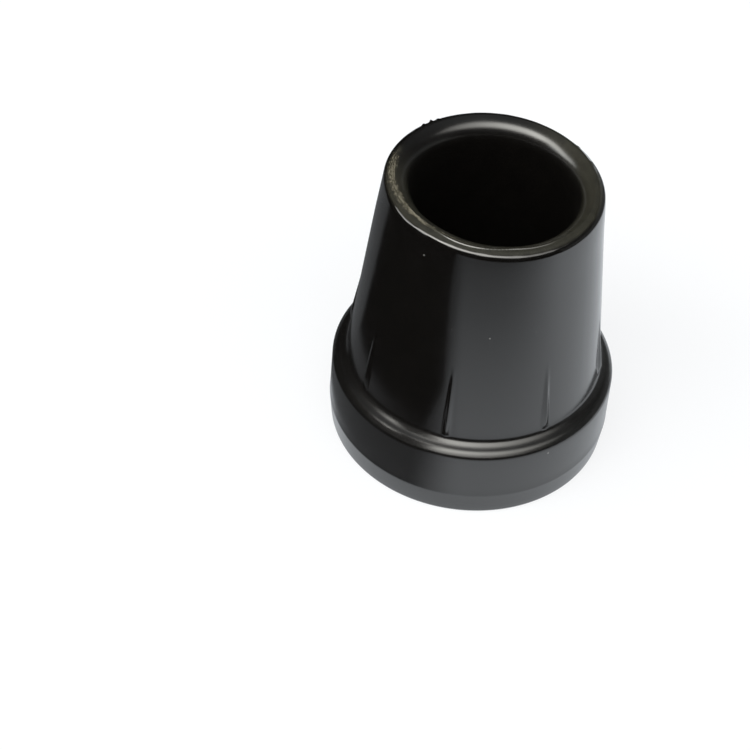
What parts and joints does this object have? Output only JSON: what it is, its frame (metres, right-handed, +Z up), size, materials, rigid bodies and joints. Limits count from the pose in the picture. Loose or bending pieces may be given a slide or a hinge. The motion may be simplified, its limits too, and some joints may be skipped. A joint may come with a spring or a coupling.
{
  "type": "rubber cane tip",
  "caption": "Moulded rubber tip for a walking cane: a tapered socket with thin gusset ribs on a wide round collar, with ring treads and a centre boss underneath.",
  "frame": {"origin": "centre of the tread, on the floor plane that the tip stands on", "axes": "+Z up along the tip's axis, out of the mouth of the bore; a rib stands on +X"},
  "size_m": [0.04, 0.04, 0.0445],
  "materials": {
    "rubber": "black moulded rubber, satin to semi-gloss"
  },
  "bodies": {
    "root": {"cane_tip": "rubber"}
  },
  "joints": []
}
